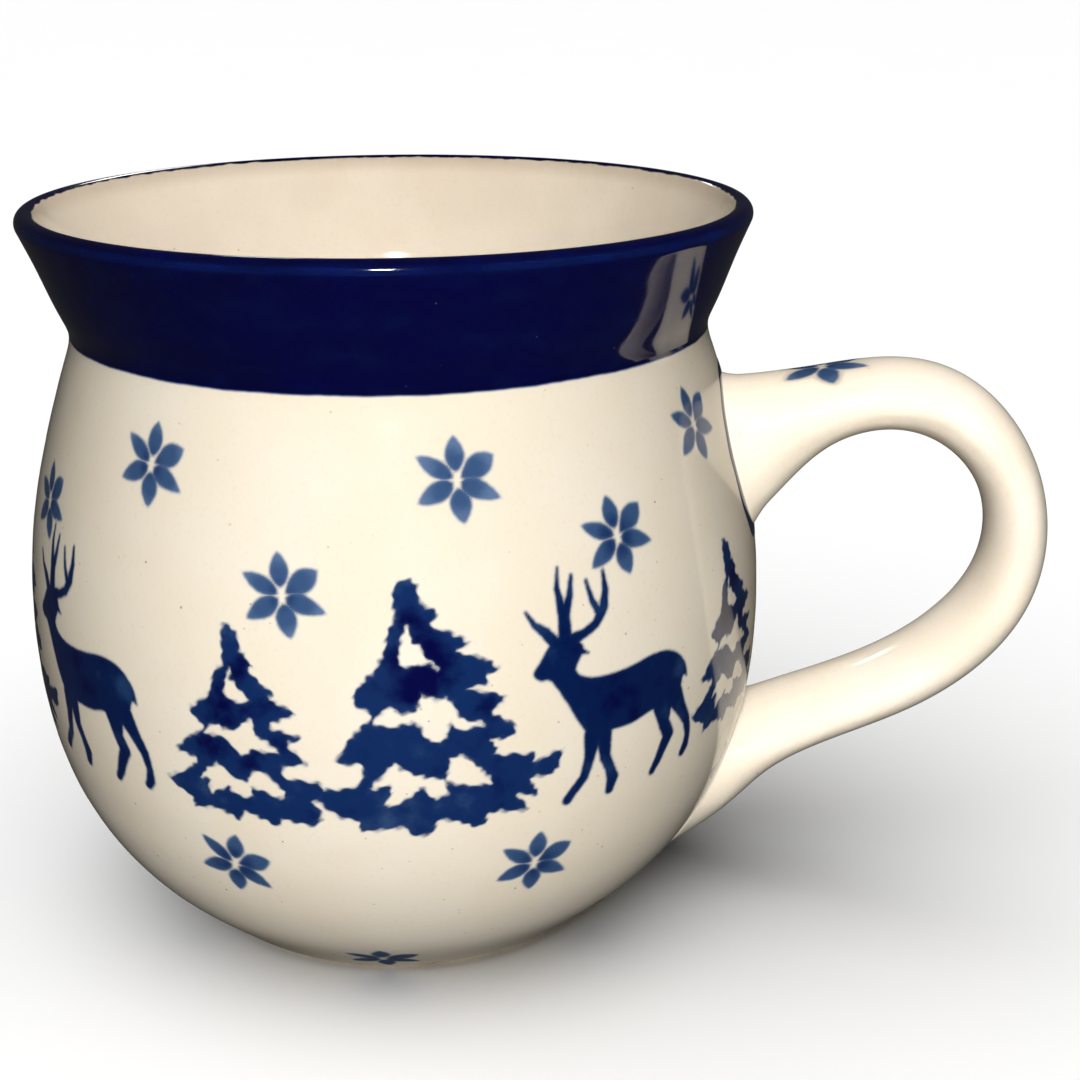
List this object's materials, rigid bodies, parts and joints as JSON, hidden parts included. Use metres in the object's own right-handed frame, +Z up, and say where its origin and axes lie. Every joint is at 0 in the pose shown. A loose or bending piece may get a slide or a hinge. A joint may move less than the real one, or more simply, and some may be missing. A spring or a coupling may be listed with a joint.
{
  "type": "stoneware mug",
  "caption": "Bellied stoneware mug with a flared collar, a luted loop handle, cream glaze, a dark cobalt lip band and small painted lines at the handle joints.",
  "frame": {"origin": "on the bowl's axis, in the plane that the foot ring rests on", "axes": "+Z up along the bowl's axis, +X towards the handle"},
  "size_m": [0.1417, 0.1022, 0.0999],
  "materials": {
    "stoneware_clay": "matte, fired and unglazed",
    "luting_slip": "matte, fired",
    "interior_glaze": "gloss",
    "cream_glaze": "gloss with fine iron specks",
    "cobalt_band": "deep gloss",
    "cobalt_line": "gloss, painted under the glaze"
  },
  "bodies": {
    "root": {"bowl_clay": "stoneware_clay", "handle_clay": "stoneware_clay", "upper_joint_slip": "luting_slip", "lower_joint_slip": "luting_slip", "inner_glaze": "interior_glaze", "belly_glaze": "cream_glaze", "rim_cobalt_band": "cobalt_band", "base_glaze": "interior_glaze", "handle_glaze": "cream_glaze", "upper_joint_line": "cobalt_line", "lower_joint_line": "cobalt_line"}
  },
  "joints": []
}
